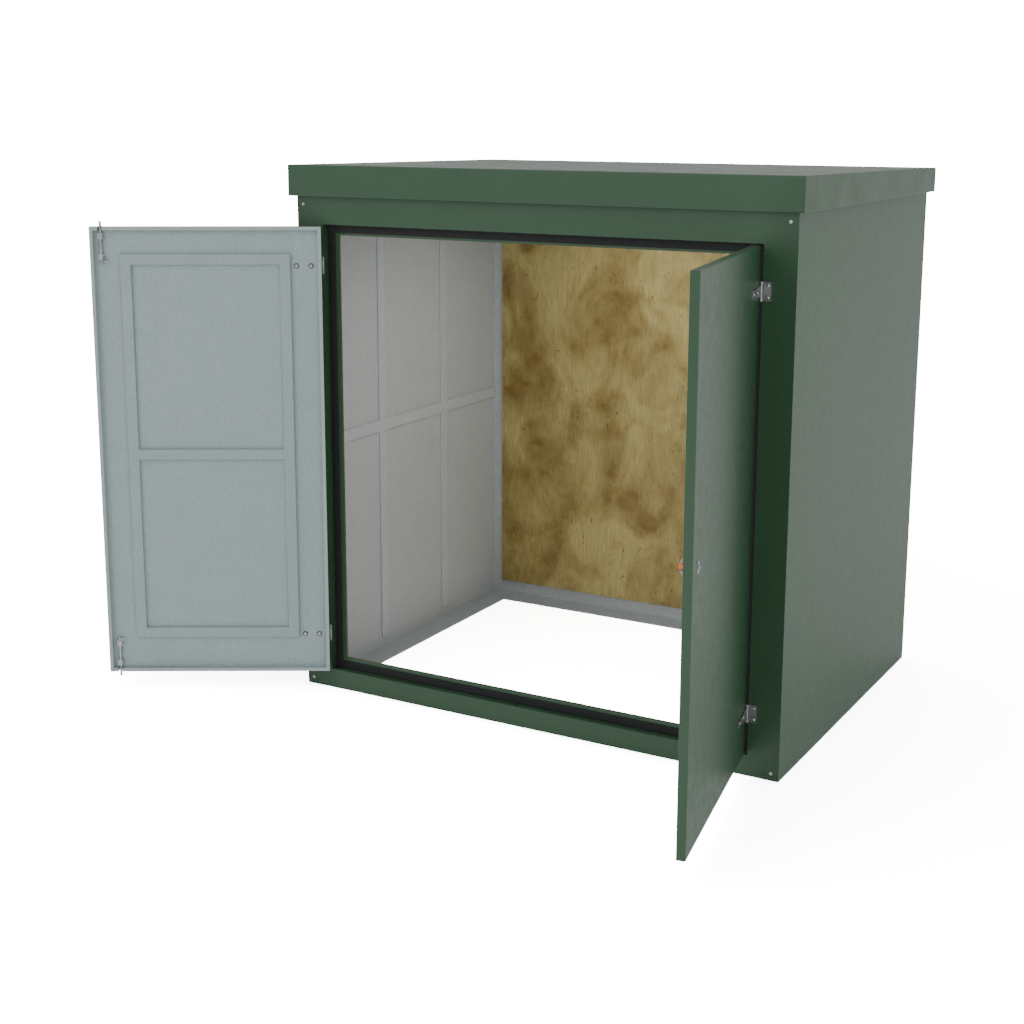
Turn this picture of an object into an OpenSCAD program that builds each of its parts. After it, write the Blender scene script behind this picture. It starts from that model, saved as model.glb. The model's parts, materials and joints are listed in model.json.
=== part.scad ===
// Walk-in glass-fibre enclosure with a pair of hinged doors.
// Millimetres, +Z up, front towards -Y. The origin is the middle of the front
// sill's underside, where the enclosure stands on the ground.

/* [Enclosure] */
// Outside width across the front
body_w = 2000; // [1400:10:3000]
// Outside depth from the front face to the back face
body_d = 1500; // [1000:10:2400]
// Height of the roof skirt's lower edge above the ground
eaves_h = 1954; // [1600:1:2600]
// Thickness of the side and back walls
wall_t = 18; // [10:1:40]
// Thickness of the moulded front frame
frame_t = 8; // [4:1:14]
// Width of the foot flanges, from the outside face inwards
foot_w = 132; // [80:1:200]
// Thickness of the foot flanges
foot_t = 6; // [4:1:15]

/* [Roof] */
// Height of the roof skirt at the front
fascia_h = 118; // [80:1:250]
// Fall of the roof from its front edge to its back edge
roof_fall = 23.5; // [0:0.5:40]
// Distance that the roof stands out past each wall
overhang = 25; // [14:1:80]
// Thickness of the roof moulding
roof_t = 8; // [4:1:12]

/* [Doorway] */
// Width of each jamb on the front face
jamb_w = 117; // [80:1:250]
// Height of the sill
sill_h = 77; // [50:1:200]
// Depth of the head below the roof skirt
head_drop = 105; // [60:1:250]
// Depth from the front face to the seal
rebate_d = 31; // [31:1:60]
// Distance that the stop stands into the doorway at each jamb
jamb_stop = 50; // [40:1:70]
// Distance that the stop stands up behind the sill
sill_stop = 47; // [38:1:70]
// Distance that the stop hangs down behind the head
head_stop = 41; // [36:1:70]
// Width of the seal
seal_w = 32; // [20:1:34]
// Thickness of the seal
seal_t = 4; // [2:1:10]

/* [Doors] */
// Thickness of each door over its edge lip
door_t = 30; // [24:1:30]
// Thickness of a door's outer skin
skin_t = 8; // [4:1:10]
// Width of the lip round a door's inner face
lip_w = 14; // [8:1:25]
// Gap at a door's hinge edge, top and bottom
edge_gap = 5; // [3:0.5:8]
// Gap between the two doors when both are closed
meet_gap = 6; // [4:0.5:12]
// Angle that the left door stands open
left_open = 149.5; // [0:0.5:170]
// Angle that the right door stands open
right_open = 100; // [0:0.5:170]

/* [Stiffening ribs] */
// Width of a door rib
door_rib_w = 41; // [20:1:60]
// Height of a door rib above the skin
door_rib_h = 12; // [4:1:14]
// Distance from a door's hinge edge to its rib frame
rib_from_hinge = 120; // [115:1:160]
// Distance from a door's free edge to its rib frame
rib_from_free = 110; // [90:1:160]
// Distance from a door's top to its rib frame
rib_from_top = 104; // [60:1:200]
// Distance from a door's bottom to its rib frame
rib_from_foot = 139; // [60:1:200]
// Width of a wall rib
wall_rib_w = 50; // [30:1:80]
// Height of a wall rib above the wall
wall_rib_h = 6; // [3:1:20]
// Distance from the front face to the first upright wall rib
wall_rib_first = 530; // [300:1:700]
// Spacing of the upright wall ribs
wall_rib_pitch = 488; // [200:1:700]
// Height of the level wall rib
wall_rail_z = 973; // [600:1:1300]
// Gap between the wall ribs and the foot flange
wall_rib_foot = 39; // [10:1:100]

/* [Back board] */
// Thickness of the board
board_t = 12; // [9:1:25]
// Margin from the board to the side walls
board_side = 47; // [10:1:200]
// Margin from the board to the ground
board_foot = 64; // [20:1:200]
// Margin from the board to the roof
board_top = 70; // [20:1:200]

/* [Hinges] */
// Height of each hinge
hinge_h = 65; // [50:1:110]
// Distance from a door's top or bottom to the middle of the hinge
hinge_in = 150; // [80:1:350]
// Thickness of the hinge plates
leaf_t = 3; // [2:0.5:4]
// Outside radius of a knuckle
knuckle_r = 5.5; // [4.5:0.5:6]
// Distance from the front face out to the hinge pin
pin_out = 6; // [6:0.5:10]
// Radius of the hinge pin
pin_r = 2.5; // [1.5:0.1:3]
// Height of the middle knuckle and the strap's root
strap_root = 37; // [25:1:40]
// Height of the strap's far end
strap_end = 26; // [15:1:37]
// Length of the strap from the pin
strap_l = 112; // [60:1:114]
// Length of the frame plate from the pin
plate_l = 34; // [20:1:60]

/* [Tower bolts] */
// Radius of a bolt's rod
rod_r = 5; // [3:0.5:6]
// Length of a bolt's rod
rod_l = 160; // [140:1:190]
// Distance from the door's free edge to the rod
rod_in = 41; // [30:1:60]
// Distance that a thrown bolt stands past the door
throw_out = 20; // [12:1:24]
// Distance from the rod's tip to its first guide
guide_a = 56; // [50:1:60]
// Distance from the rod's tip to its second guide
guide_b = 136; // [110:1:136]
// Width of a guide
guide_w = 26; // [22:1:32]
// Height of a guide
guide_h = 22; // [14:1:24]
// Length of the finger tab on a rod
tab_l = 21; // [12:1:30]

/* [Lock] */
// Distance from the right door's free edge to the lock
lock_in = 60; // [50:1:90]
// Height of the lock above the ground
lock_z = 978; // [800:1:1200]
// Height of the lock's inside case
case_h = 58; // [50:1:80]
// Width of the lock's inside case
case_w = 24; // [20:1:40]
// Distance from the skin to the top of the case
case_rise = 44; // [30:1:60]
// Radius of the inside release knob
knob_r = 11; // [8:0.5:13]
// Height of the outside lock plate
face_h = 42; // [36:1:60]
// Width of the outside lock plate
face_w = 20; // [18:1:30]
// Radius of the key barrel
barrel_r = 7; // [5:0.5:8]

/* [Hidden] */

pin_clear = 0.05;     // running clearance round a pin, rod or spindle
knuckle_gap = 0.5;    // gap between two knuckles
hole_clear = 3;       // clearance round a thrown bolt's tip
knob_clear = 2;       // clearance round the release knob
knob_proud = 1;       // distance that the release knob stands past its case
eps = 0.5;            // run past a face that is cut

front_y = -foot_w / 2;
back_y = front_y + body_d;
half_w = body_w / 2;
in_x = half_w - wall_t;

open_w = body_w - 2 * jamb_w;
open_top = eaves_h - head_drop;
stop_y = rebate_d + seal_t;
frame_back = stop_y + frame_t;

roof_l = body_d + 2 * overhang;
roof_top_f = eaves_h + fascia_h;
function roof_top(y) = roof_top_f - roof_fall * (y - front_y + overhang) / roof_l;
function roof_under(y) = roof_top(y) - roof_t;

door_w = (open_w - 2 * edge_gap - meet_gap) / 2;
door_z0 = sill_h + edge_gap;
door_z1 = open_top - edge_gap;
pin_x = open_w / 2 - edge_gap / 2;
pin_y = front_y - pin_out;
door_x = edge_gap / 2;
skin_y = pin_out + skin_t;
inner_y = pin_out + door_t;

rib_x0 = door_x + rib_from_hinge;
rib_x1 = door_x + door_w - rib_from_free;
rib_z0 = door_z0 + rib_from_foot;
rib_z1 = door_z1 - rib_from_top;

upper_z = door_z1 - hinge_in;
lower_z = door_z0 + hinge_in;
outer_knuckle = (hinge_h - strap_root) / 2 - knuckle_gap;

rod_x = door_x + door_w - rod_in;
rod_y = skin_y + rod_r + 4;
guide_top = rod_y + rod_r + 2;
tab_z = rod_l - 8;
lock_x = door_x + door_w - lock_in;
case_top = skin_y + case_rise;
slot_y = case_top - 14;

// Box between two corners
module box(a, b) { translate(a) cube(b - a); }

// Rod along Y from y0 to y1
module rod_along_y(r, y0, y1, fn = 48) {
    translate([0, y0, 0]) rotate([-90, 0, 0]) cylinder(r = r, h = y1 - y0, $fn = fn);
}

// A door's own frame is put on its pin line: x along the door, y inwards.
module on_left_pin(turn) {
    translate([-pin_x, pin_y, 0]) rotate([0, 0, -turn]) children();
}
module on_right_pin(turn) {
    translate([pin_x, pin_y, 0]) rotate([0, 0, turn]) mirror([1, 0, 0]) children();
}

// ---- Front frame: face, return and stop, in one moulding cut at the corners ----

// Socket in the return for the tip of a thrown bolt
module tip_socket(z) {
    translate([-pin_x + rod_x, pin_y + rod_y, z - frame_t - eps])
        cylinder(r = rod_r + hole_clear, h = 2 * frame_t + 2 * eps, $fn = 48);
}

module front_head() {
    color("#46604d") difference() {
        union() {
            box([-half_w, front_y, open_top], [half_w, front_y + frame_t, roof_under(front_y + frame_t)]);
            box([-open_w / 2 - frame_t, front_y, open_top],
                [open_w / 2 + frame_t, front_y + frame_back, open_top + frame_t]);
            box([-open_w / 2 + jamb_stop, front_y + stop_y, open_top - head_stop],
                [open_w / 2 - jamb_stop, front_y + frame_back, open_top + frame_t]);
        }
        tip_socket(open_top);
    }
}

module front_sill() {
    color("#3c4c3f") difference() {
        union() {
            box([-half_w, front_y, 0], [half_w, front_y + frame_t, sill_h]);
            box([-open_w / 2 - frame_t, front_y, sill_h - frame_t],
                [open_w / 2 + frame_t, front_y + frame_back, sill_h]);
            box([-open_w / 2 + jamb_stop, front_y + stop_y, sill_h - frame_t],
                [open_w / 2 - jamb_stop, front_y + frame_back, sill_h + sill_stop]);
            box([-in_x, front_y, 0], [in_x, front_y + foot_w, foot_t]);
        }
        tip_socket(sill_h);
    }
}

module jamb() {
    box([-half_w, front_y, sill_h], [-open_w / 2, front_y + frame_t, open_top]);
    box([-open_w / 2 - frame_t, front_y, sill_h], [-open_w / 2, front_y + frame_back, open_top]);
    box([-open_w / 2 - frame_t, front_y + stop_y, sill_h],
        [-open_w / 2 + jamb_stop, front_y + frame_back, open_top]);
}

module front_left_jamb() { color("#46604d") jamb(); }
module front_right_jamb() { color("#46604d") mirror([1, 0, 0]) jamb(); }

// Flat strip that the doors close against, right round the stop
module door_seal() {
    color("#1e1f1f") difference() {
        box([-open_w / 2, front_y + rebate_d, sill_h], [open_w / 2, front_y + stop_y, open_top]);
        box([-open_w / 2 + seal_w, front_y + rebate_d - eps, sill_h + seal_w],
            [open_w / 2 - seal_w, front_y + stop_y + eps, open_top - seal_w]);
    }
}

// ---- Walls, their ribs and the foot flanges ----

module side_wall() {
    y0 = front_y + frame_t;
    y1 = back_y - wall_t;
    translate([-half_w, 0, 0]) rotate([90, 0, 90]) linear_extrude(wall_t)
        polygon([[y0, 0], [y1, 0], [y1, roof_under(y1)], [y0, roof_under(y0)]]);
}

module left_wall() { color("#46604d") side_wall(); }
module right_wall() { color("#687b6e") mirror([1, 0, 0]) side_wall(); }

module back_wall() {
    color("#46604d") box([-half_w, back_y - wall_t, 0], [half_w, back_y, roof_under(back_y)]);
}

// Two uprights crossed by one level rib, laid on the inside of a side wall
module wall_ribs() {
    z0 = foot_t + wall_rib_foot;
    z1 = roof_under(back_y) - wall_rib_foot;
    for (i = [0, 1]) {
        y = front_y + wall_rib_first + i * wall_rib_pitch;
        box([-in_x, y - wall_rib_w / 2, z0], [-in_x + wall_rib_h, y + wall_rib_w / 2, z1]);
    }
    box([-in_x, front_y + frame_back, wall_rail_z - wall_rib_w / 2],
        [-in_x + wall_rib_h, back_y - wall_t, wall_rail_z + wall_rib_w / 2]);
}

module left_wall_ribs() { color("#a0a5a5") wall_ribs(); }
module right_wall_ribs() { color("#a0a5a5") mirror([1, 0, 0]) wall_ribs(); }

module side_foot_flange() {
    box([-in_x, front_y + foot_w, 0], [-half_w + foot_w, back_y - wall_t, foot_t]);
}

module left_foot_flange() { color("#7d8a8c") side_foot_flange(); }
module right_foot_flange() { color("#7d8a8c") mirror([1, 0, 0]) side_foot_flange(); }

module back_foot_flange() {
    color("#7d8a8c") box([-half_w + foot_w, back_y - foot_w, 0],
        [half_w - foot_w, back_y - wall_t, foot_t]);
}

module back_board() {
    color("#8c7038") box([-in_x + board_side, back_y - wall_t - board_t, board_foot],
        [in_x - board_side, back_y - wall_t, roof_under(back_y) - board_top]);
}

// ---- Roof: a tray turned over the walls, its top falling to the back ----

module roof_block(x, y0, y1, z0, lower) {
    translate([-x, 0, 0]) rotate([90, 0, 90]) linear_extrude(2 * x)
        polygon([[y0, z0], [y1, z0], [y1, roof_top(y1) - lower], [y0, roof_top(y0) - lower]]);
}

module roof() {
    color("#46604d") difference() {
        roof_block(half_w + overhang, front_y - overhang, back_y + overhang, eaves_h, 0);
        roof_block(half_w + overhang - roof_t, front_y - overhang + roof_t,
            back_y + overhang - roof_t, eaves_h - eps, roof_t);
    }
}

// ---- Hinges: plate, outer knuckles and pin on the frame, strap on the door ----

module hinge_plate(z) {
    translate([0, 0, z]) union() {
        difference() {
            box([-plate_l, pin_out - leaf_t, -hinge_h / 2], [0, pin_out, hinge_h / 2]);
            box([-knuckle_r - 1, pin_out - leaf_t - eps, -strap_root / 2 - knuckle_gap],
                [eps, pin_out + eps, strap_root / 2 + knuckle_gap]);
        }
        for (s = [-1, 1]) translate([0, 0, s * (hinge_h - outer_knuckle) / 2 - outer_knuckle / 2])
            cylinder(r = knuckle_r, h = outer_knuckle, $fn = 64);
        translate([0, 0, -hinge_h / 2]) cylinder(r = pin_r, h = hinge_h, $fn = 64);
    }
}

module hinge_strap(z) {
    root = strap_root / 2 - 1;
    translate([0, 0, z]) difference() {
        union() {
            translate([0, pin_out, 0]) rotate([90, 0, 0]) linear_extrude(leaf_t)
                polygon([[1, -root], [strap_l, -strap_end / 2],
                    [strap_l, strap_end / 2], [1, root]]);
            translate([0, 0, -strap_root / 2]) cylinder(r = knuckle_r, h = strap_root, $fn = 64);
        }
        translate([0, 0, -hinge_h / 2])
            cylinder(r = pin_r + pin_clear, h = hinge_h, $fn = 64);
    }
}

module left_upper_hinge_plate() { color("#8a8c90") on_left_pin(0) hinge_plate(upper_z); }
module left_lower_hinge_plate() { color("#8a8c90") on_left_pin(0) hinge_plate(lower_z); }
module right_upper_hinge_plate() { color("#8a8c90") on_right_pin(0) hinge_plate(upper_z); }
module right_lower_hinge_plate() { color("#8a8c90") on_right_pin(0) hinge_plate(lower_z); }
module left_upper_hinge_strap() { color("#9a9ca0") on_left_pin(left_open) hinge_strap(upper_z); }
module left_lower_hinge_strap() { color("#9a9ca0") on_left_pin(left_open) hinge_strap(lower_z); }
module right_upper_hinge_strap() { color("#9a9ca0") on_right_pin(right_open) hinge_strap(upper_z); }
module right_lower_hinge_strap() { color("#9a9ca0") on_right_pin(right_open) hinge_strap(lower_z); }

// ---- Doors: a shallow tray with a lip, stiffened by a frame of ribs ----

module door_panel() {
    difference() {
        box([door_x, pin_out, door_z0], [door_x + door_w, inner_y, door_z1]);
        box([door_x + lip_w, skin_y, door_z0 + lip_w],
            [door_x + door_w - lip_w, inner_y + eps, door_z1 - lip_w]);
    }
}

module door_ribs() {
    rail_z = (door_z0 + door_z1) / 2;
    difference() {
        box([rib_x0, skin_y, rib_z0], [rib_x1, skin_y + door_rib_h, rib_z1]);
        for (cut = [[rib_z0 + door_rib_w, rail_z - door_rib_w / 2],
                    [rail_z + door_rib_w / 2, rib_z1 - door_rib_w]])
            box([rib_x0 + door_rib_w, skin_y - eps, cut[0]],
                [rib_x1 - door_rib_w, skin_y + door_rib_h + eps, cut[1]]);
    }
}

// Slots in the lip that let the bolts through at the top and the bottom
module left_door_panel() {
    color("#9caaa8") on_left_pin(left_open) difference() {
        door_panel();
        for (z = [door_z0 + lip_w / 2, door_z1 - lip_w / 2])
            box([rod_x - rod_r - hole_clear, rod_y - rod_r - hole_clear, z - lip_w / 2 - eps],
                [rod_x + rod_r + hole_clear, inner_y + eps, z + lip_w / 2 + eps]);
    }
}
module left_door_ribs() { color("#9caaa8") on_left_pin(left_open) door_ribs(); }
module right_door_panel() { color("#687b6e") on_right_pin(right_open) door_panel(); }
module right_door_ribs() { color("#9caaa8") on_right_pin(right_open) door_ribs(); }

// ---- Tower bolts: drawn with the tip at z = 0 and the rod running down ----

module tower_bolt() {
    translate([rod_x, rod_y, -rod_l]) cylinder(r = rod_r, h = rod_l, $fn = 48);
    translate([rod_x, rod_y, -tab_z]) rotate([0, -90, 0]) cylinder(r = 3, h = rod_r + tab_l, $fn = 32);
}

// Footed saddle round the rod, its foot notched at each side
module bolt_guide(z) {
    translate([rod_x, 0, z]) difference() {
        union() {
            box([-guide_w / 2, skin_y, -guide_h / 2], [guide_w / 2, skin_y + 3, guide_h / 2]);
            box([-rod_r - 3, skin_y, -guide_h / 2], [rod_r + 3, guide_top, guide_h / 2]);
        }
        translate([0, rod_y, -guide_h]) cylinder(r = rod_r + pin_clear, h = 2 * guide_h, $fn = 48);
        for (s = [-1, 1])
            box([min(s * guide_w / 2, s * (rod_r + 3)) - eps, skin_y - eps, -3],
                [max(s * guide_w / 2, s * (rod_r + 3)) + eps, skin_y + 3 + eps, 3]);
    }
}

module top_bolt() {
    color("#909296") on_left_pin(left_open) translate([0, 0, door_z1 + throw_out]) tower_bolt();
}
module bottom_bolt() {
    color("#909296") on_left_pin(left_open) translate([0, 0, door_z0 - throw_out])
        mirror([0, 0, 1]) tower_bolt();
}
module top_bolt_guides() {
    color("#86888c") on_left_pin(left_open)
        for (d = [guide_a, guide_b]) bolt_guide(door_z1 + throw_out - d);
}
module bottom_bolt_guides() {
    color("#86888c") on_left_pin(left_open)
        for (d = [guide_a, guide_b]) bolt_guide(door_z0 - throw_out + d);
}

// ---- Lock: plate and key barrel outside, domed case and release knob inside ----

module at_lock() { on_right_pin(right_open) translate([lock_x, 0, lock_z]) children(); }

module lock_face_plate() {
    flat = face_h - face_w;
    color("#a4a6a8") at_lock() difference() {
        union() {
            box([-face_w / 2, pin_out - 3, -flat / 2], [face_w / 2, pin_out, flat / 2]);
            for (s = [-1, 1]) translate([0, 0, s * flat / 2])
                rod_along_y(face_w / 2, pin_out - 3, pin_out);
        }
        rod_along_y(barrel_r, pin_out - 3 - eps, pin_out + eps);
    }
}

module lock_barrel() {
    color("#7c7e82") at_lock() rod_along_y(barrel_r, pin_out - 7, pin_out);
}

module lock_case() {
    dome_r = (pow(case_h / 2, 2) + pow(14, 2)) / 28;
    color("#a2a4ac") at_lock() difference() {
        intersection() {
            box([-case_w / 2, skin_y, -case_h / 2], [case_w / 2, case_top, case_h / 2]);
            translate([-case_w / 2 - eps, case_top - dome_r, 0]) rotate([0, 90, 0])
                cylinder(r = dome_r, h = case_w + 2 * eps, $fn = 96);
        }
        box([-case_w / 2 - eps, slot_y, -knob_r - knob_clear],
            [case_w / 2 + eps, case_top + eps, knob_r + knob_clear]);
        rod_along_y(4 + pin_clear, slot_y - 12, slot_y + eps);
    }
}

module release_knob() {
    color("#ff9b4b") at_lock() union() {
        rod_along_y(knob_r, slot_y + 1, case_top + knob_proud);
        rod_along_y(4, slot_y - 11, slot_y + 2);
    }
}

front_head();
front_sill();
front_left_jamb();
front_right_jamb();
door_seal();
left_wall();
right_wall();
back_wall();
left_wall_ribs();
right_wall_ribs();
left_foot_flange();
right_foot_flange();
back_foot_flange();
back_board();
roof();
left_upper_hinge_plate();
left_lower_hinge_plate();
right_upper_hinge_plate();
right_lower_hinge_plate();
left_door_panel();
left_door_ribs();
left_upper_hinge_strap();
left_lower_hinge_strap();
top_bolt_guides();
bottom_bolt_guides();
top_bolt();
bottom_bolt();
right_door_panel();
right_door_ribs();
right_upper_hinge_strap();
right_lower_hinge_strap();
lock_face_plate();
lock_barrel();
lock_case();
release_knob();
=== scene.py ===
import json
import math
import bmesh
import bpy
import numpy as np
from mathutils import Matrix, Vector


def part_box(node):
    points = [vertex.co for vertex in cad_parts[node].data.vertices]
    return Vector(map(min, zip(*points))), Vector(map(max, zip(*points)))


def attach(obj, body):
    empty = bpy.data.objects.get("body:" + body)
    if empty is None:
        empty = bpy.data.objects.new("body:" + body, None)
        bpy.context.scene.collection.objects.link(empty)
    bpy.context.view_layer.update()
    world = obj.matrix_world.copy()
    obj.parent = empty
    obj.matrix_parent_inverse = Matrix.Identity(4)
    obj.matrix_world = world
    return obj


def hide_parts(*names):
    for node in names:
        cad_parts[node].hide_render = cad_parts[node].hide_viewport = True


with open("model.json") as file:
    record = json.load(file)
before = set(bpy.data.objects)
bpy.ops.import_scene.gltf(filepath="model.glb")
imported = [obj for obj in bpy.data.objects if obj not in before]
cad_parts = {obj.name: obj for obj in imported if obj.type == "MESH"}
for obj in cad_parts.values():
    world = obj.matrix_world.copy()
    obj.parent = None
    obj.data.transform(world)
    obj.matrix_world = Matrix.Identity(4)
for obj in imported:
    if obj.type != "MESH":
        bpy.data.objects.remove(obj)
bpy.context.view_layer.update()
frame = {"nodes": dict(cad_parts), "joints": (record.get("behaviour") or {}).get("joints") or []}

# --- The studio ------------------------------------------------------------
# A plain white floor and a white room, with one broad soft lamp in front and
# above, and the camera at standing height off the enclosure's right corner.
camera = bpy.data.objects.new("camera", bpy.data.cameras.new("camera"))
bpy.context.scene.collection.objects.link(camera)
camera.location = (2.767, -5.100, 2.291)
camera.rotation_euler = (math.radians(90 - 11.60), 0.0, math.radians(30.01))
camera.data.sensor_width = 36.0
camera.data.lens = 56.97
camera.data.shift_x = 0.0193
camera.data.shift_y = -0.0722
camera.data.clip_end = 200.0
bpy.context.scene.camera = camera

floor_mesh = bpy.data.meshes.new("floor")
floor_mesh.from_pydata([(-40, -40, 0), (40, -40, 0), (40, 40, 0), (-40, 40, 0)], [],
                       [(0, 1, 2, 3)])
floor = bpy.data.objects.new("floor", floor_mesh)
bpy.context.scene.collection.objects.link(floor)
floor_paint = bpy.data.materials.new("floor_paint")
floor_paint.use_nodes = True
floor_tree = floor_paint.node_tree
floor_tree.nodes.clear()
floor_out = floor_tree.nodes.new("ShaderNodeOutputMaterial")
floor_seen = floor_tree.nodes.new("ShaderNodeBsdfDiffuse")
floor_seen.inputs["Color"].default_value = (24, 24, 24, 1)
floor_bounce = floor_tree.nodes.new("ShaderNodeBsdfDiffuse")
floor_bounce.inputs["Color"].default_value = (1.25, 1.25, 1.25, 1)
floor_way = floor_tree.nodes.new("ShaderNodeLightPath")
floor_mix = floor_tree.nodes.new("ShaderNodeMixShader")
floor_tree.links.new(floor_way.outputs["Is Camera Ray"], floor_mix.inputs[0])
floor_tree.links.new(floor_bounce.outputs[0], floor_mix.inputs[1])
floor_tree.links.new(floor_seen.outputs[0], floor_mix.inputs[2])
floor_tree.links.new(floor_mix.outputs[0], floor_out.inputs[0])
floor_mesh.materials.append(floor_paint)

room = bpy.data.worlds.new("studio")
room.use_nodes = True
room_tree = room.node_tree
room_light = room_tree.nodes["Background"]
room_light.inputs["Color"].default_value = (1, 1, 1, 1)
room_light.inputs["Strength"].default_value = 0.72
room_seen = room_tree.nodes.new("ShaderNodeBackground")
room_seen.inputs["Color"].default_value = (1, 1, 1, 1)
room_seen.inputs["Strength"].default_value = 20.0
room_way = room_tree.nodes.new("ShaderNodeLightPath")
room_mix = room_tree.nodes.new("ShaderNodeMixShader")
room_tree.links.new(room_way.outputs["Is Camera Ray"], room_mix.inputs[0])
room_tree.links.new(room_light.outputs[0], room_mix.inputs[1])
room_tree.links.new(room_seen.outputs[0], room_mix.inputs[2])
room_tree.links.new(room_mix.outputs[0], room_tree.nodes["World Output"].inputs[0])
bpy.context.scene.world = room


def soft_lamp(name, place, aim, size, watts):
    """A square lamp at place that faces aim."""
    data = bpy.data.lights.new(name, "AREA")
    data.size, data.energy = size, watts
    lamp = bpy.data.objects.new(name, data)
    way = np.subtract(aim, place)
    lamp.location = place
    lamp.visible_camera = False
    lamp.rotation_euler = (math.acos(-way[2] / np.linalg.norm(way)), 0.0,
                           math.atan2(way[1], way[0]) - math.pi / 2)
    bpy.context.scene.collection.objects.link(lamp)


soft_lamp("front_lamp", (-2.0, -6.0, 5.0), (0.0, 0.6, 0.9), 4.0, 100)
soft_lamp("ceiling_lamp", (0.1, 0.62, 1.93), (0.1, 0.6201, 0.0), 0.9, 12)
soft_lamp("right_lamp", (5.0, -3.5, 1.2), (0.95, -0.1, 0.8), 2.5, 30)

# --- Front frame -----------------------------------------------------------
# One moulding of green gelcoat on glass fibre: head, sill and two jambs that
# turn in to a stop behind the doors. The stop's trimmed edge shows bare resin,
# and the inside has a pale flow coat brushed over the fibre.


class Value:
    """A number, colour or vector worked out at each point of a surface."""

    def __init__(self, surface, socket):
        self.surface, self.socket = surface, socket

    def maths(self, operation, *values):
        return self.surface.node("ShaderNodeMath", {"operation": operation},
                                 dict(enumerate(values)))

    def __add__(self, other): return self.maths("ADD", self, other)
    def __radd__(self, other): return self.maths("ADD", other, self)
    def __sub__(self, other): return self.maths("SUBTRACT", self, other)
    def __rsub__(self, other): return self.maths("SUBTRACT", other, self)
    def __mul__(self, other): return self.maths("MULTIPLY", self, other)
    def __rmul__(self, other): return self.maths("MULTIPLY", other, self)
    def __abs__(self): return self.maths("ABSOLUTE", self)
    def __gt__(self, other): return self.maths("GREATER_THAN", self, other)
    def __lt__(self, other): return self.maths("LESS_THAN", self, other)


class Surface:
    """A finish, built up from nodes round one shader."""

    def __init__(self, name, **constants):
        self.material = bpy.data.materials.new(name)
        self.material.use_nodes = True
        self.tree = self.material.node_tree
        self.shader = self.tree.nodes["Principled BSDF"]
        for socket, value in constants.items():
            self.shader.inputs[socket.replace("_", " ")].default_value = value

    def node(self, kind, settings=None, inputs=None, output=0):
        made = self.tree.nodes.new(kind)
        for setting, value in (settings or {}).items():
            setattr(made, setting, value)
        for socket, value in (inputs or {}).items():
            if isinstance(value, Value):
                self.tree.links.new(value.socket, made.inputs[socket])
            else:
                made.inputs[socket].default_value = value
        return Value(self, made.outputs[output])

    def place(self, output="Object"):
        return self.node("ShaderNodeTexCoord", output=output)

    def along(self, vector):
        """The three parts of a vector."""
        return [self.node("ShaderNodeSeparateXYZ", inputs={0: vector}, output=k) for k in range(3)]

    def noise(self, scale, detail=3.0, roughness=0.5, stretch=(1, 1, 1), warp=0.0):
        vector = self.node("ShaderNodeMapping", inputs={"Vector": self.place(), "Scale": stretch})
        return self.node("ShaderNodeTexNoise", inputs={
            "Vector": vector, "Scale": scale, "Detail": detail,
            "Roughness": roughness, "Distortion": warp})

    def between(self, value, low, high, to_low=0.0, to_high=1.0):
        return self.node("ShaderNodeMapRange", {"clamp": True}, {
            "Value": value, "From Min": low, "From Max": high,
            "To Min": to_low, "To Max": to_high})

    def blend(self, factor, first, second):
        """first where factor is 0, second where it is 1."""
        first, second = (c if isinstance(c, Value) else (*c, 1) for c in (first, second))
        return self.node("ShaderNodeMix", {"data_type": "RGBA"},
                         {0: factor, 6: first, 7: second}, output=2)

    def edges(self, radius):
        """1 along sharp edges, fading to 0 within radius of them."""
        rounded = self.node("ShaderNodeBevel", {"samples": 4}, {"Radius": radius})
        true = self.node("ShaderNodeNewGeometry", output="Normal")
        same = self.node("ShaderNodeVectorMath", {"operation": "DOT_PRODUCT"},
                         {0: rounded, 1: true}, output="Value")
        return self.between(same, 0.995, 0.8)

    def feed(self, colour, roughness, height, depth):
        """Joins the finished colour, roughness and surface height, in metres."""
        bump = self.node("ShaderNodeBump", inputs={
            "Height": height, "Distance": depth, "Strength": 1.0})
        for name, value in (("Base Color", colour), ("Roughness", roughness), ("Normal", bump)):
            self.tree.links.new(value.socket, self.shader.inputs[name])


def gelcoat(surface):
    """Green gelcoat: a slow drift of shade, and paler where edges rub."""
    drift = surface.between(surface.noise(1.6, 4.0), 0.35, 0.65)
    fine = surface.between(surface.noise(60.0, 2.0), 0.3, 0.7)
    green = surface.blend(drift, (0.028, 0.076, 0.036), (0.031, 0.082, 0.040))
    green = surface.blend(fine * 0.10, green, (0.038, 0.095, 0.048))
    scuffs = surface.between(surface.noise(45.0, 5.0, 0.7), 0.5, 0.75)
    return surface.blend(surface.edges(0.004) * scuffs * 0.5, green, (0.14, 0.19, 0.14))


def flow_coat(surface, light, dark):
    """Brushed pale coat: mottled, with the glass strands showing through."""
    mottle = surface.between(surface.noise(9.0, 5.0, 0.6), 0.3, 0.7)
    strands = surface.between(
        surface.noise(150.0, 4.0, 0.75, stretch=(1, 1, 0.45), warp=0.6), 0.35, 0.65)
    tone = surface.blend(0.35 + mottle * 0.3, dark, light)
    return surface.blend((1 - strands) * 0.38, tone, tuple(0.62 * c for c in dark)), strands


PALE_INSIDE = ((0.53, 0.55, 0.555), (0.47, 0.49, 0.495))


def orange_peel(surface):
    """The slight waviness of a moulded gloss face."""
    return surface.noise(140.0, 2.0)


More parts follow.
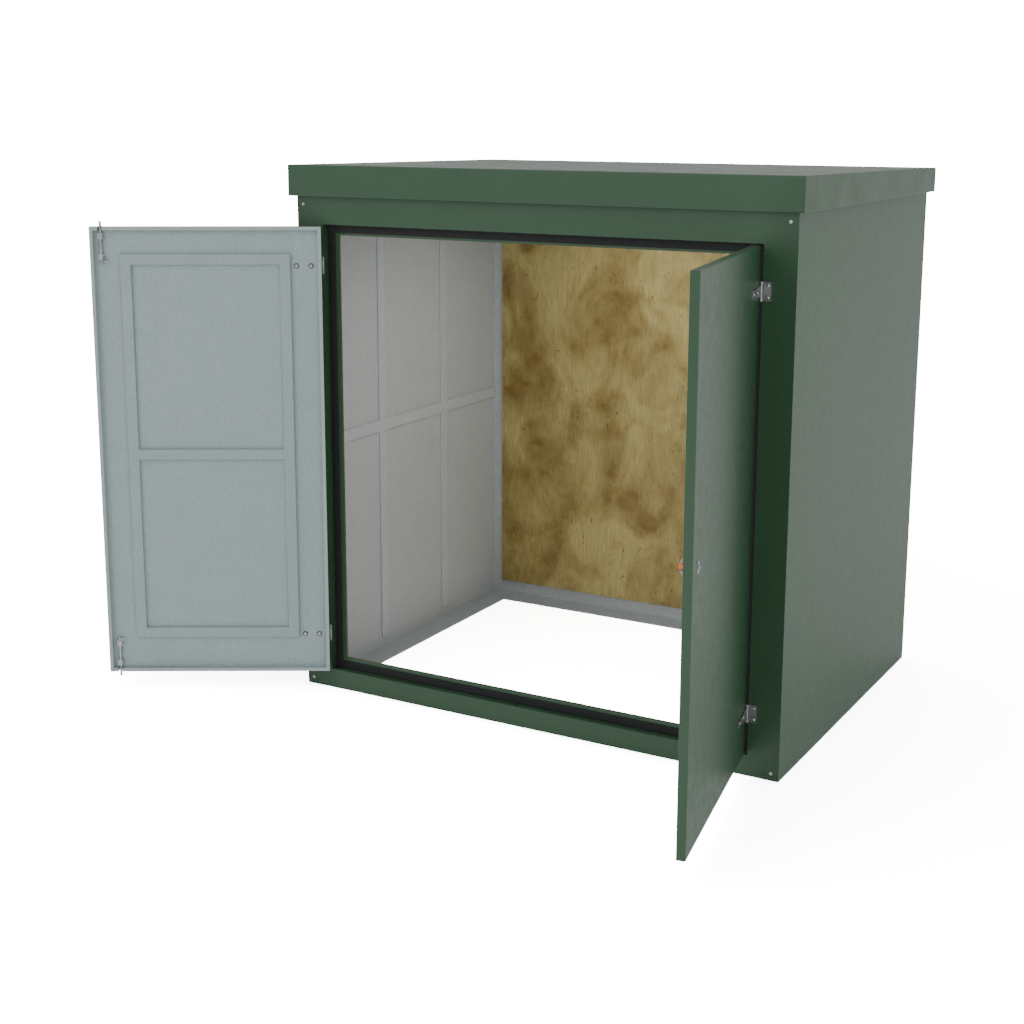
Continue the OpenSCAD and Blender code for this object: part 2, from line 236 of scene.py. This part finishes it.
frame_finish = Surface("front_frame_gelcoat", IOR=1.5)
s = frame_finish
x, y, z = s.along(s.place())
facing = s.along(s.place("Normal"))
outside = gelcoat(s)
inside, strands = flow_coat(s, *PALE_INSIDE)
colour = s.blend(facing[1] > 0.5, outside, inside)
STOP_HALF_WIDTH, STOP_FOOT, STOP_HEAD, STOP_BACK = 0.8335, 0.1235, 1.8085, -0.0225
trimmed = ((abs(x) < STOP_HALF_WIDTH) * (z > STOP_FOOT) * (z < STOP_HEAD)
           * (y < STOP_BACK))
resin = s.blend(s.noise(80.0, 3.0), (0.045, 0.062, 0.020), (0.085, 0.095, 0.032))
colour = s.blend(trimmed, colour, resin)
rough = s.between(s.noise(25.0, 3.0), 0.3, 0.7, 0.34, 0.42)
s.feed(colour, rough, orange_peel(s), 0.00004)


def softened(node, body, width, finish, steps=2):
    """A copy of a CAD piece, merged and with its edges rounded to width."""
    mesh = frame["nodes"][node].data.copy()
    mesh.materials.clear()
    work = bmesh.new()
    work.from_mesh(mesh)
    bmesh.ops.remove_doubles(work, verts=work.verts, dist=1e-6)
    bmesh.ops.dissolve_limit(work, angle_limit=math.radians(1.0),
                             verts=work.verts, edges=work.edges)
    work.to_mesh(mesh)
    work.free()
    mesh.materials.append(finish.material)
    piece = bpy.data.objects.new(node + "_moulding", mesh)
    bpy.context.scene.collection.objects.link(piece)
    rounding = piece.modifiers.new("rounded_edges", "BEVEL")
    rounding.width, rounding.segments = width, steps
    rounding.limit_method, rounding.angle_limit = "ANGLE", math.radians(35)
    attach(piece, body)
    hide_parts(node)


def finished(node, finish):
    """Puts a finish on a CAD piece that keeps its own mesh."""
    data = frame["nodes"][node].data
    data.materials.clear()
    data.materials.append(finish.material)


for node in ("front_head", "front_sill", "front_left_jamb", "front_right_jamb"):
    finished(node, frame_finish)

# --- Walls -----------------------------------------------------------------
# Three sandwich panels moulded with green gelcoat outside and pale flow coat
# inside, bonded to the front frame and to each other at the corners.
wall_finish = Surface("wall_gelcoat", IOR=1.5)
s = wall_finish
x, y, z = s.along(s.place())
outside = gelcoat(s)
inside, strands = flow_coat(s, *PALE_INSIDE)
within = (abs(x) < 0.99) * (y < 1.424)
colour = s.blend(within, outside, inside)
rough = s.between(s.noise(25.0, 4.0), 0.3, 0.7, 0.36, 0.40) + within * 0.25
s.feed(colour, rough, orange_peel(s) * (1 - within) * 0.2 + strands * within, 0.0002)
for node in ("left_wall", "right_wall", "back_wall"):
    finished(node, wall_finish)

# --- Wall ribs and foot flanges ---------------------------------------------
# Foam strips laid on the walls and glassed over, and the flanges turned in at
# the foot to bolt down. Both have the same pale coat, the flanges a bluer one.
rib_finish = Surface("rib_flow_coat", IOR=1.48)
s = rib_finish
colour, strands = flow_coat(s, (0.56, 0.590, 0.600), (0.50, 0.528, 0.540))
# Painted shade: the ribs are painted darker along every sharp edge.
colour = s.blend(s.edges(0.004) * 0.4, colour, (0.24, 0.26, 0.27))
s.feed(colour, s.between(s.noise(30.0), 0.3, 0.7, 0.45, 0.6), strands, 0.0003)
softened("left_wall_ribs", "shell", 0.0025, rib_finish)
softened("right_wall_ribs", "shell", 0.0025, rib_finish)

foot_finish = Surface("foot_flow_coat", IOR=1.48)
s = foot_finish
colour, strands = flow_coat(s, (0.40, 0.44, 0.455), (0.34, 0.375, 0.390))
s.feed(colour, s.between(s.noise(30.0), 0.3, 0.7, 0.45, 0.6), strands, 0.0003)
for node in ("left_foot_flange", "right_foot_flange", "back_foot_flange"):
    finished(node, foot_finish)

# --- Roof ------------------------------------------------------------------
# A shallow lid in one moulding, with a deep skirt that drops outside the
# walls. It is green gelcoat outside and bonded down along the wall tops.
roof_finish = Surface("roof_gelcoat", IOR=1.5)
s = roof_finish
colour = gelcoat(s)
dust = s.between(s.noise(3.0, 5.0, 0.6), 0.45, 0.75)
top_face = s.between(s.along(s.place("Normal"))[2], 0.8, 0.95)
colour = s.blend(dust * top_face * 0.12, colour, (0.26, 0.28, 0.25))
s.feed(colour, s.between(s.noise(8.0, 3.0), 0.3, 0.7, 0.32, 0.42), orange_peel(s), 0.00004)
softened("roof", "shell", 0.003, roof_finish, steps=3)

# --- Door seal ---------------------------------------------------------------
# A flat strip of black foam rubber stuck to the stop all round the doorway.
seal_finish = Surface("foam_rubber", IOR=1.45)
s = seal_finish
cells = s.between(s.noise(900.0, 2.0), 0.3, 0.7)
colour = s.blend(cells, (0.010, 0.011, 0.011), (0.021, 0.022, 0.022))
s.feed(colour, s.between(cells, 0, 1, 0.7, 0.85), cells, 0.0004)
softened("door_seal", "shell", 0.001, seal_finish)

# --- Back board ----------------------------------------------------------------
# A sheet of plywood on the back wall for fixing equipment to. The varnish has
# soaked in unevenly, so the face is blotched gold and brown, with small knots.
board_finish = Surface("varnished_plywood", IOR=1.5)
s = board_finish
blotch = s.between(s.noise(4.2, 5.0, 0.55, stretch=(1, 1, 0.7), warp=0.7), 0.38, 0.60)
patch = s.between(s.noise(8.5, 5.0, 0.6, warp=0.5), 0.35, 0.68)
grain = s.between(s.noise(170.0, 5.0, 0.7, stretch=(1, 1, 0.09), warp=0.3), 0.35, 0.65)
colour = s.blend(blotch, (0.205, 0.120, 0.016), (0.520, 0.415, 0.150))
colour = s.blend(patch * 0.5, colour, (0.470, 0.380, 0.150))
colour = s.blend((1 - grain) * 0.35, colour, (0.120, 0.075, 0.014))
flecks = s.between(s.noise(38.0, 3.0, 0.6, stretch=(1, 1, 0.6), warp=1.5), 0.67, 0.72)
specks = s.between(s.noise(95.0, 2.0, 0.5, stretch=(1, 1, 0.35)), 0.69, 0.74)
colour = s.blend(flecks * 0.75, colour, (0.05, 0.028, 0.008))
colour = s.blend(specks * 0.55, colour, (0.06, 0.034, 0.010))
s.feed(colour, s.between(patch, 0, 1, 0.38, 0.55), grain, 0.0003)
finished("back_board", board_finish)

# --- Doors ---------------------------------------------------------------------
# Each door is a shallow tray moulded in green gelcoat, with a lip turned back
# round its edge and a rib frame glassed on inside, all flow-coated pale.


right_hinge, = [j for j in frame["joints"] if j["child"] == "right_door"]
left_hinge, = [j for j in frame["joints"] if j["child"] == "left_door"]
PIN_X, PIN_Y = right_hinge["pos_m"][:2]


def door_local(surface, side, opened):
    """The distance along the door from its pin, the distance inwards from the
    pin, and the height: the point, less the pin, turned back by the opening."""
    moved = surface.node("ShaderNodeVectorMath", {"operation": "SUBTRACT"},
                         {0: surface.place(), 1: (PIN_X * side, PIN_Y, 0.0)})
    turn = math.radians(opened) * (-1 if side > 0 else 1)
    x, y, z = surface.along(moved)
    c, t = math.cos(turn), math.sin(turn)
    along = (x * c - y * t) * (-side)
    inwards = x * t + y * c
    return along, inwards, z


doors = {"left_door": (-1, -left_hinge["range_deg"][0]),
         "right_door": (1, -right_hinge["range_deg"][0])}
for body, (side, opened) in doors.items():
    s = Surface(body + "_coats", IOR=1.5)
    along, inwards, z = door_local(s, side, opened)
    outside = gelcoat(s)
    inside, strands = flow_coat(s, (0.400, 0.500, 0.500), (0.320, 0.405, 0.405))
    hollow = ((inwards > 0.0070) * (along > 0.0032) * (along < 0.8768)
              * (z > 0.0828) * (z < 1.8432))
    # Painted highlight: the rim of the lip is painted paler than the rest of the inside coat.
    painted_lip_highlight = (inwards > 0.0355)
    inside = s.blend(painted_lip_highlight * 0.35, inside, (0.46, 0.52, 0.51))
    colour = s.blend(hollow, outside, inside)
    rough = s.between(s.noise(25.0, 3.0), 0.3, 0.7, 0.33, 0.41) + hollow * 0.2
    s.feed(colour, rough, orange_peel(s) * (1 - hollow) * 0.15 + strands * hollow, 0.0003)
    softened(body + "_panel", body, 0.0015, s)

    s = Surface(body + "_rib_coat", IOR=1.48)
    colour, strands = flow_coat(s, (0.385, 0.480, 0.475), (0.315, 0.400, 0.398))
    # Painted shade: the door ribs are painted darker along every sharp edge.
    colour = s.blend(s.edges(0.004) * 0.45, colour, (0.20, 0.24, 0.235))
    s.feed(colour, s.between(s.noise(30.0), 0.3, 0.7, 0.45, 0.6), strands, 0.00035)
    softened(body + "_ribs", body, 0.002, s)

# --- Hinges ----------------------------------------------------------------------
# Four strap hinges cut from stainless sheet, the knuckles rolled round a pin,
# brushed along their length and bolted through the frame and through the door.


def metal(name, light, dark, rough, grain=(1, 1, 12)):
    """Bare metal with a fine brushed grain."""
    surface = Surface(name, Metallic=1.0)
    scratch = surface.between(surface.noise(300.0, 3.0, 0.6, stretch=grain), 0.35, 0.65)
    cloud = surface.between(surface.noise(35.0, 3.0), 0.3, 0.7)
    colour = surface.blend(cloud, dark, light)
    colour = surface.blend((1 - scratch) * 0.25, colour, tuple(0.6 * c for c in dark))
    surface.feed(colour, surface.between(scratch, 0, 1, rough, rough + 0.12), scratch, 0.00008)
    return surface


hinge_finish = metal("brushed_stainless", (0.42, 0.42, 0.43), (0.30, 0.30, 0.31), 0.30)
for side in ("left", "right"):
    for level in ("upper", "lower"):
        finished(f"{side}_{level}_hinge_plate", hinge_finish)
        finished(f"{side}_{level}_hinge_strap", hinge_finish)


def turned(name, centre, axis, profile, finish, body, sides=32):
    """A turned piece: each profile point (radius, height) is carried round the
    axis at centre, and the ends meet the axis at a pole, so it is closed."""
    axis = np.asarray(axis, float) / np.linalg.norm(axis)
    across = np.cross(axis, (0, 0, 1) if abs(axis[2]) < 0.9 else (1, 0, 0))
    across /= np.linalg.norm(across)
    third = np.cross(axis, across)
    radius, height = np.asarray(profile, float).T
    angle = np.linspace(0, 2 * np.pi, sides, endpoint=False)
    ring = np.cos(angle)[:, None] * across + np.sin(angle)[:, None] * third
    points = (np.asarray(centre) + radius[:, None, None] * ring[None]
              + height[:, None, None] * axis).reshape(-1, 3)
    rows, cols = np.meshgrid(np.arange(len(radius) - 1), np.arange(sides), indexing="ij")
    nxt = (cols + 1) % sides
    quads = np.stack([rows * sides + cols, rows * sides + nxt,
                      (rows + 1) * sides + nxt, (rows + 1) * sides + cols], -1).reshape(-1, 4)
    placed(name, points, quads, finish, body)


def placed(name, points, faces, finish, body):
    """Puts points and faces in a mesh, closes its poles and turns it outwards."""
    mesh = bpy.data.meshes.new(name)
    mesh.from_pydata(points, [], faces)
    work = bmesh.new()
    work.from_mesh(mesh)
    bmesh.ops.remove_doubles(work, verts=work.verts, dist=1e-7)
    bmesh.ops.dissolve_degenerate(work, dist=1e-8, edges=work.edges)
    bmesh.ops.recalc_face_normals(work, faces=work.faces)
    work.to_mesh(mesh)
    work.free()
    mesh.polygons.foreach_set("use_smooth", np.ones(len(mesh.polygons), bool))
    mesh.set_sharp_from_angle(angle=math.radians(35))
    mesh.materials.append(finish.material)
    piece = bpy.data.objects.new(name, mesh)
    bpy.context.scene.collection.objects.link(piece)
    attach(piece, body)


def domed(radius, height, rim=0.0004, steps=7):
    """A short upright rim, then a quarter ellipse that closes at the pole."""
    swing = np.linspace(0, np.pi / 2, steps)
    dome = np.stack([radius * np.cos(swing), rim + (height - rim) * np.sin(swing)], -1)
    return [(0.0, 0.0), (radius, 0.0), *dome.tolist()]


HINGE_Z = {level: np.mean([c[2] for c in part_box(f"left_{level}_hinge_plate")])
           for level in ("upper", "lower")}


def on_door(side, opened, along, inwards, z):
    """The place in the row of a point along a door and inwards from its pin."""
    turn = math.radians(opened) * (1 if side > 0 else -1)
    c, t = math.cos(turn), math.sin(turn)
    x, y = -side * along, inwards
    return (side * PIN_X + x * c - y * t, PIN_Y + x * t + y * c, z)


def door_inwards(side, opened):
    """The direction from a door's outer face to its inner face."""
    start = np.array(on_door(side, opened, 0, 0, 0))
    return np.array(on_door(side, opened, 0, 1, 0)) - start


washer_finish = metal("washers", (0.20, 0.20, 0.21), (0.13, 0.13, 0.14), 0.45, (1, 1, 1))
bolt_finish = metal("bolt_heads", (0.72, 0.72, 0.73), (0.56, 0.56, 0.57), 0.22, (1, 1, 1))
for body, (side, opened) in doors.items():
    inward = door_inwards(side, opened)
    for level, hinge_z in HINGE_Z.items():
        for number, dz in enumerate((-0.020, 0.020)):
            place = (side * (PIN_X + 0.023), -0.069, hinge_z + dz)
            turned(f"{body}_{level}_frame_bolt_{number}", place, (0, -1, 0),
                   domed(0.0052, 0.0030), bolt_finish, "shell")
        for number, along in enumerate((0.0445, 0.100)):
            head = on_door(side, opened, along, 0.003, hinge_z)
            turned(f"{body}_{level}_strap_bolt_{number}", head, -inward,
                   domed(0.0052, 0.0030), bolt_finish, body)
            back = on_door(side, opened, along, 0.014, hinge_z)
            washer = [(0, 0), (0.0105, 0), (0.0105, 0.0013), (0, 0.0013)]
            turned(f"{body}_{level}_washer_{number}", back, inward, washer,
                   washer_finish, body)
            nut = [(0, 0.0013), (0.0065, 0.0013), (0.0065, 0.0060), (0.0056, 0.0068), (0, 0.0068)]
            turned(f"{body}_{level}_nut_{number}", back, inward, nut,
                   bolt_finish, body, sides=6)
            end = [(0, 0.0068), (0.0030, 0.0068), (0.0030, 0.0092), (0.0024, 0.0098), (0, 0.0098)]
            turned(f"{body}_{level}_thread_end_{number}", back, inward, end,
                   bolt_finish, body)

# --- Corner screws ------------------------------------------------------------------
# Four domed stainless screws on cup washers, one at each corner of the front
# frame, that hold the frame to the side walls.
for x in (-0.972, 0.972):
    for z in (0.027, 1.923):
        label = f"{'left' if x < 0 else 'right'}_{'lower' if z < 1 else 'upper'}_corner"
        cup = [(0, 0), (0.0065, 0), (0.0058, 0.0014), (0.0046, 0.0016), (0, 0.0016)]
        turned(label + "_cup_washer", (x, -0.066, z), (0, -1, 0), cup,
               bolt_finish, "shell")
        turned(label + "_screw", (x, -0.0678, z), (0, -1, 0), domed(0.0040, 0.0024),
               bolt_finish, "shell")

# --- Tower bolts -----------------------------------------------------------------------
# Zinc-plated rods that slide in two pressed guides at the top and the foot of
# the left door, each with a thumb tab welded to it.
zinc_finish = metal("zinc_plate", (0.60, 0.61, 0.62), (0.40, 0.41, 0.43), 0.32)
for node in ("top_bolt", "bottom_bolt", "top_bolt_guides", "bottom_bolt_guides"):
    finished(node, zinc_finish)

# --- Lock --------------------------------------------------------------------------------
# A rim lock on the right door: a satin face plate and a keyed barrel outside,
# a grey painted case inside, and an orange knob to let a person out.
chrome_finish = metal("satin_chrome", (0.62, 0.62, 0.64), (0.50, 0.50, 0.52), 0.20, (1, 1, 1))
finished("lock_face_plate", chrome_finish)
finished("lock_barrel", chrome_finish)

case_finish = Surface("powder_coat", IOR=1.5)
s = case_finish
specks = s.between(s.noise(400.0, 2.0), 0.3, 0.7)
colour = s.blend(specks, (0.34, 0.34, 0.40), (0.40, 0.40, 0.46))
# Painted highlight: the case is painted a paler grey along every sharp edge.
colour = s.blend(s.edges(0.002) * 0.5, colour, (0.52, 0.52, 0.56))
s.feed(colour, s.between(specks, 0, 1, 0.42, 0.52), specks, 0.0002)
softened("lock_case", "right_door", 0.0015, case_finish)

knob_finish = Surface("orange_plastic", IOR=1.48)
s = knob_finish
swirl = s.between(s.noise(120.0, 3.0), 0.3, 0.7)
colour = s.blend(swirl, (0.86, 0.20, 0.025), (1.0, 0.31, 0.06))
# Painted highlight: the knob is painted a paler orange along every sharp edge.
colour = s.blend(s.edges(0.0015) * 0.4, colour, (1.0, 0.48, 0.20))
s.feed(colour, s.between(swirl, 0, 1, 0.38, 0.48), swirl, 0.0001)
softened("release_knob", "release_knob", 0.0007, knob_finish)

side, opened = doors["right_door"]
outward = -door_inwards(side, opened)
for number, dz in enumerate((-0.013, 0.013)):
    turned(f"lock_plate_screw_{number}", on_door(side, opened, 0.8175, 0.003, 0.978 + dz),
           outward, domed(0.0026, 0.0010), bolt_finish, "right_door")
